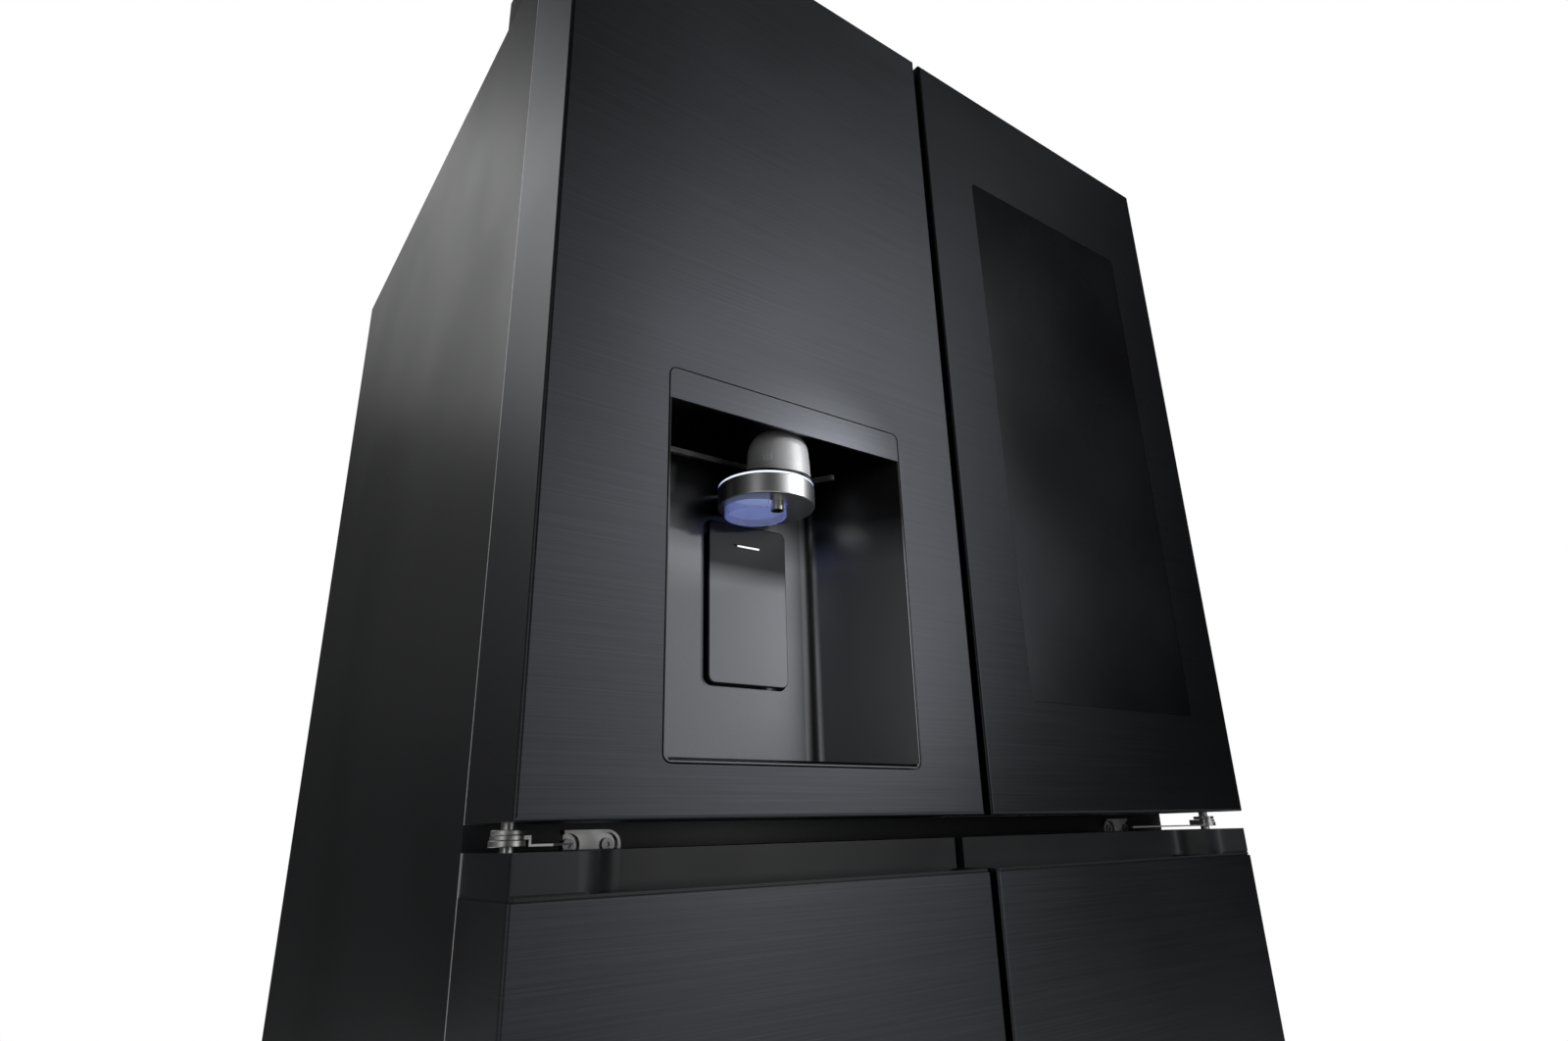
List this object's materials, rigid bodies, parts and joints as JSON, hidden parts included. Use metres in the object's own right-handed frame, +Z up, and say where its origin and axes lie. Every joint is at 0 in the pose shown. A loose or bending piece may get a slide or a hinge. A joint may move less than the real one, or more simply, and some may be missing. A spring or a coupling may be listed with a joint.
{
  "type": "french door refrigerator",
  "caption": "Tall refrigerator with two upper doors, a recessed ice and water dispenser, a windowed outer door and two lower doors with pull pockets.",
  "frame": {"origin": "centre of the footprint on the floor", "axes": "X across the front, -Y out of the front, +Z up"},
  "size_m": [0.912, 0.918, 1.79],
  "materials": {
    "black_steel": "matte black brushed",
    "right_steel": "matte black brushed, darker",
    "case_paint": "satin",
    "rail_paint": "satin",
    "galvanised": "dull zinc",
    "foam": "rigid foam",
    "liner_white": "satin",
    "clear_plastic": "clear",
    "shelf_glass": "tempered",
    "window_glass": "dark mirror tint",
    "seal_grey": "matt",
    "bright_steel": "zinc plated",
    "screw_steel": "zinc plated",
    "cover_plastic": "fine texture",
    "cap_plastic": "satin",
    "recess_black": "satin",
    "dome_satin": "satin silver",
    "disk_metal": "spun",
    "halo_light": "lit diffuser",
    "chute_clear": "lit translucent",
    "spout_steel": "satin",
    "accent_chrome": "polished",
    "base_zinc": "dull zinc",
    "leg_plastic": "satin",
    "roller_nylon": "satin",
    "compressor_paint": "gloss",
    "fin_aluminium": "mill",
    "fan_plastic": "satin",
    "valve_plastic": "satin"
  },
  "bodies": {
    "cabinet": {"air_duct": "liner_white", "base_frame": "base_zinc", "bottom_hinge_brackets": "bright_steel", "cabinet_foam": "foam", "compressor": "compressor_paint", "condenser": "fin_aluminium", "cord_gland": "leg_plastic", "crisper_drawers": "clear_plastic", "evaporators": "fin_aluminium", "fan_motor": "base_zinc", "freezer_drawers": "clear_plastic", "freezer_liners": "liner_white", "fridge_liner": "liner_white", "glass_shelves": "shelf_glass", "hinge_covers": "cover_plastic", "hinge_pins": "bright_steel", "hinge_screws": "screw_steel", "kick_grille": "cover_plastic", "levelling_legs": "leg_plastic", "machine_cover": "galvanised", "middle_hinge_brackets": "bright_steel", "middle_rail": "rail_paint", "outer_case": "case_paint", "rear_panel": "galvanised", "top_hinge_brackets": "bright_steel", "water_valve": "valve_plastic"},
    "left_door": {"left_door_skin": "black_steel", "left_door_foam": "foam", "left_door_liner": "liner_white", "left_door_gasket": "seal_grey", "left_door_bins": "clear_plastic", "dispenser_housing": "recess_black", "dispenser_fascia": "black_steel", "nozzle_disk": "disk_metal", "nozzle_halo": "halo_light", "ice_chute": "chute_clear", "water_spout": "spout_steel", "nozzle_dome": "dome_satin", "accent_bar": "accent_chrome", "drip_tray": "recess_black"},
    "mullion_flap": {"mullion_flap": "cap_plastic"},
    "dispenser_paddle": {"dispenser_paddle": "recess_black"},
    "right_door": {"right_inner_frame": "liner_white", "right_door_gasket": "seal_grey", "right_door_bins": "clear_plastic"},
    "right_outer_door": {"right_outer_skin": "right_steel", "right_outer_core": "cap_plastic", "right_outer_glass": "window_glass", "right_outer_gasket": "seal_grey"},
    "lower_left_door": {"lower_left_skin": "black_steel", "lower_left_cap": "cap_plastic", "lower_left_core": "liner_white", "lower_left_gasket": "seal_grey"},
    "lower_right_door": {"lower_right_skin": "black_steel", "lower_right_cap": "cap_plastic", "lower_right_core": "liner_white", "lower_right_gasket": "seal_grey"},
    "rear_roller_left": {"rear_roller_left": "roller_nylon"},
    "rear_roller_right": {"rear_roller_right": "roller_nylon"},
    "condenser_fan": {"condenser_fan": "fan_plastic"}
  },
  "joints": [
    {"name": "left_door_hinge", "type": "hinge", "parent": "cabinet", "child": "left_door", "pos_m": [-0.443, -0.414, 0.86], "axis": [0, 0, -1], "range_deg": [0, 110]},
    {"name": "right_door_hinge", "type": "hinge", "parent": "cabinet", "child": "right_door", "pos_m": [0.443, -0.414, 0.86], "axis": [0, 0, 1], "range_deg": [0, 110]},
    {"name": "outer_door_hinge", "type": "hinge", "parent": "right_door", "child": "right_outer_door", "pos_m": [0.443, -0.414, 0.86], "axis": [0, 0, 1], "range_deg": [0, 95]},
    {"name": "lower_left_hinge", "type": "hinge", "parent": "cabinet", "child": "lower_left_door", "pos_m": [-0.443, -0.414, 0.062], "axis": [0, 0, -1], "range_deg": [0, 110]},
    {"name": "lower_right_hinge", "type": "hinge", "parent": "cabinet", "child": "lower_right_door", "pos_m": [0.443, -0.414, 0.062], "axis": [0, 0, 1], "range_deg": [0, 110]},
    {"name": "flap_hinge", "type": "hinge", "parent": "left_door", "child": "mullion_flap", "pos_m": [-0.04, -0.3386, 0.9], "axis": [0, 0, -1], "range_deg": [0, 90]},
    {"name": "paddle_hinge", "type": "hinge", "parent": "left_door", "child": "dispenser_paddle", "pos_m": [-0.2151, -0.368, 1.1174], "axis": [1, 0, 0], "range_deg": [0, 4], "stiffness_Nm_per_rad": 0.3, "springref_deg": -11.46},
    {"name": "rear_roller_left_axle", "type": "hinge", "parent": "cabinet", "child": "rear_roller_left", "pos_m": [-0.398, 0.413, 0.02], "axis": [1, 0, 0], "continuous": true},
    {"name": "rear_roller_right_axle", "type": "hinge", "parent": "cabinet", "child": "rear_roller_right", "pos_m": [0.398, 0.413, 0.02], "axis": [1, 0, 0], "continuous": true},
    {"name": "fan_spin", "type": "hinge", "parent": "cabinet", "child": "condenser_fan", "pos_m": [0.075, 0.29, 0.14], "axis": [1, 0, 0], "continuous": true}
  ]
}
